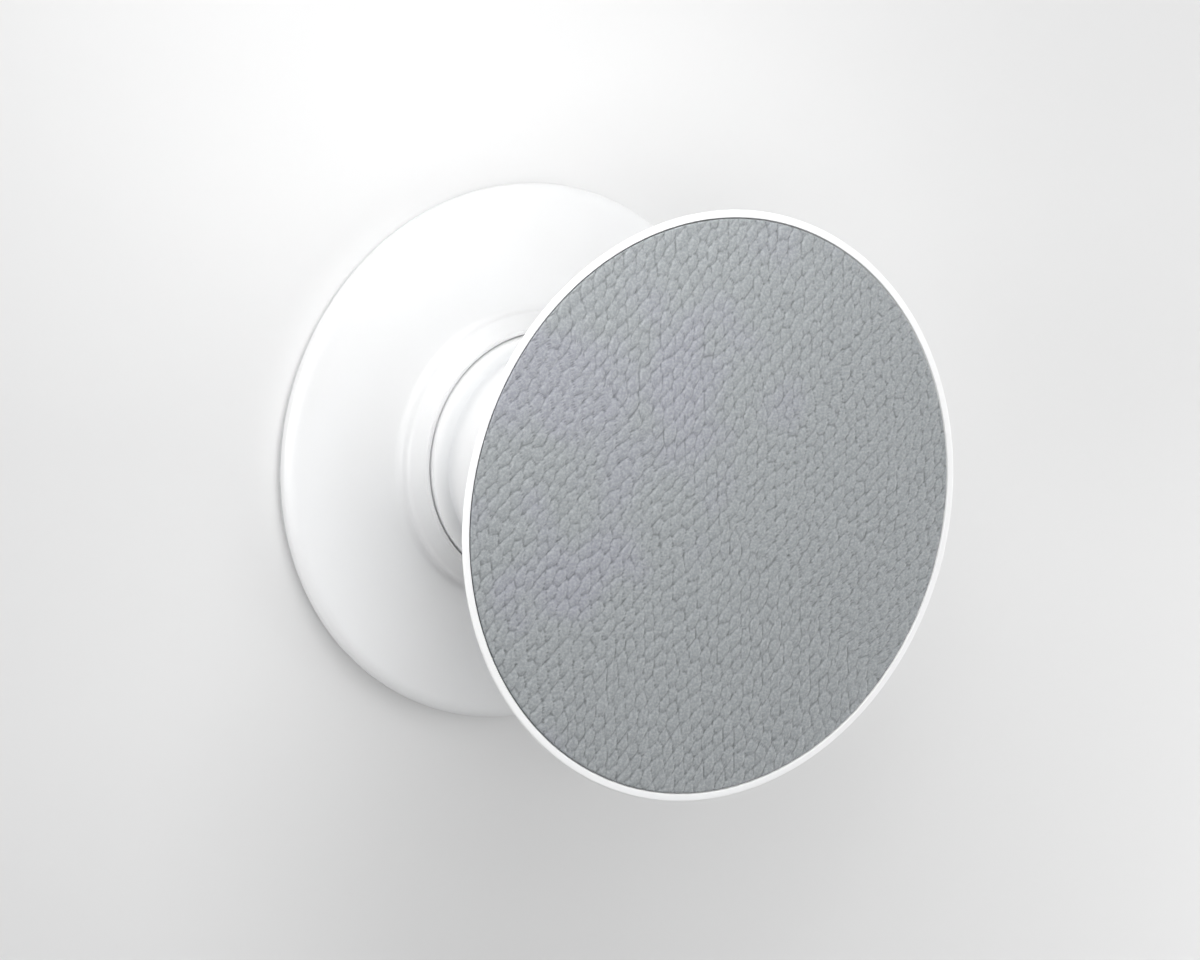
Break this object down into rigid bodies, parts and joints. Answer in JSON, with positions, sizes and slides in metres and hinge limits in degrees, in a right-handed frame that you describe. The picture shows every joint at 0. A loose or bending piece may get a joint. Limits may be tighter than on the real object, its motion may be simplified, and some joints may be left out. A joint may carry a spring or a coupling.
{
  "type": "expanding phone grip",
  "caption": "Round phone grip: an adhesive-backed base disc with a raised hub, a collapsible white bellows that turns in it, and a round button with a grey pebbled leather inlay.",
  "frame": {"origin": "centre of the back of the grip, where it sticks to a phone, at the lowest point of the standing part", "axes": "+Z along the common axis, from the base disc to the button; +Y is the direction that points up from the table in the picture; the button tilts about X"},
  "size_m": [0.04, 0.04, 0.026],
  "materials": {
    "liner": "translucent white release film, satin",
    "adhesive": "milky gel adhesive on a foam carrier",
    "cover": "thin die-cut plastic film",
    "base_plastic": "injection-moulded white polycarbonate, satin",
    "lock_plastic": "moulded natural white acetal, satin",
    "bellows_elastomer": "soft white thermoplastic elastomer, matt with a faint sheen",
    "button_plastic": "injection-moulded white polycarbonate, semi-gloss",
    "glue": "clear contact adhesive film",
    "leather": "cool grey full-grain look with an elongated pebble grain, semi-matt"
  },
  "bodies": {
    "base": {"release_liner": "liner", "adhesive_pad": "adhesive", "cavity_cover": "cover", "base_disc": "base_plastic"},
    "turntable": {"lock_foot": "lock_plastic"},
    "bellows_end": {"bellows": "bellows_elastomer"},
    "button": {"clip_plug": "lock_plastic", "button_disc": "button_plastic", "inlay_glue": "glue", "leather_inlay": "leather"}
  },
  "joints": [
    {"name": "turn", "type": "hinge", "parent": "base", "child": "turntable", "pos_m": [0, 0, 0.0029], "axis": [0, 0, 1], "continuous": true},
    {"name": "extend", "type": "slide", "parent": "turntable", "child": "bellows_end", "axis": [0, 0, 1], "range_m": [-0.0174, 0], "deforming": ["bellows"]},
    {"name": "button_tilt", "type": "hinge", "parent": "bellows_end", "child": "button", "pos_m": [0, 0, 0.02209], "axis": [1, 0, 0], "range_deg": [-10, 10], "stiffness_Nm_per_rad": 0.06}
  ]
}
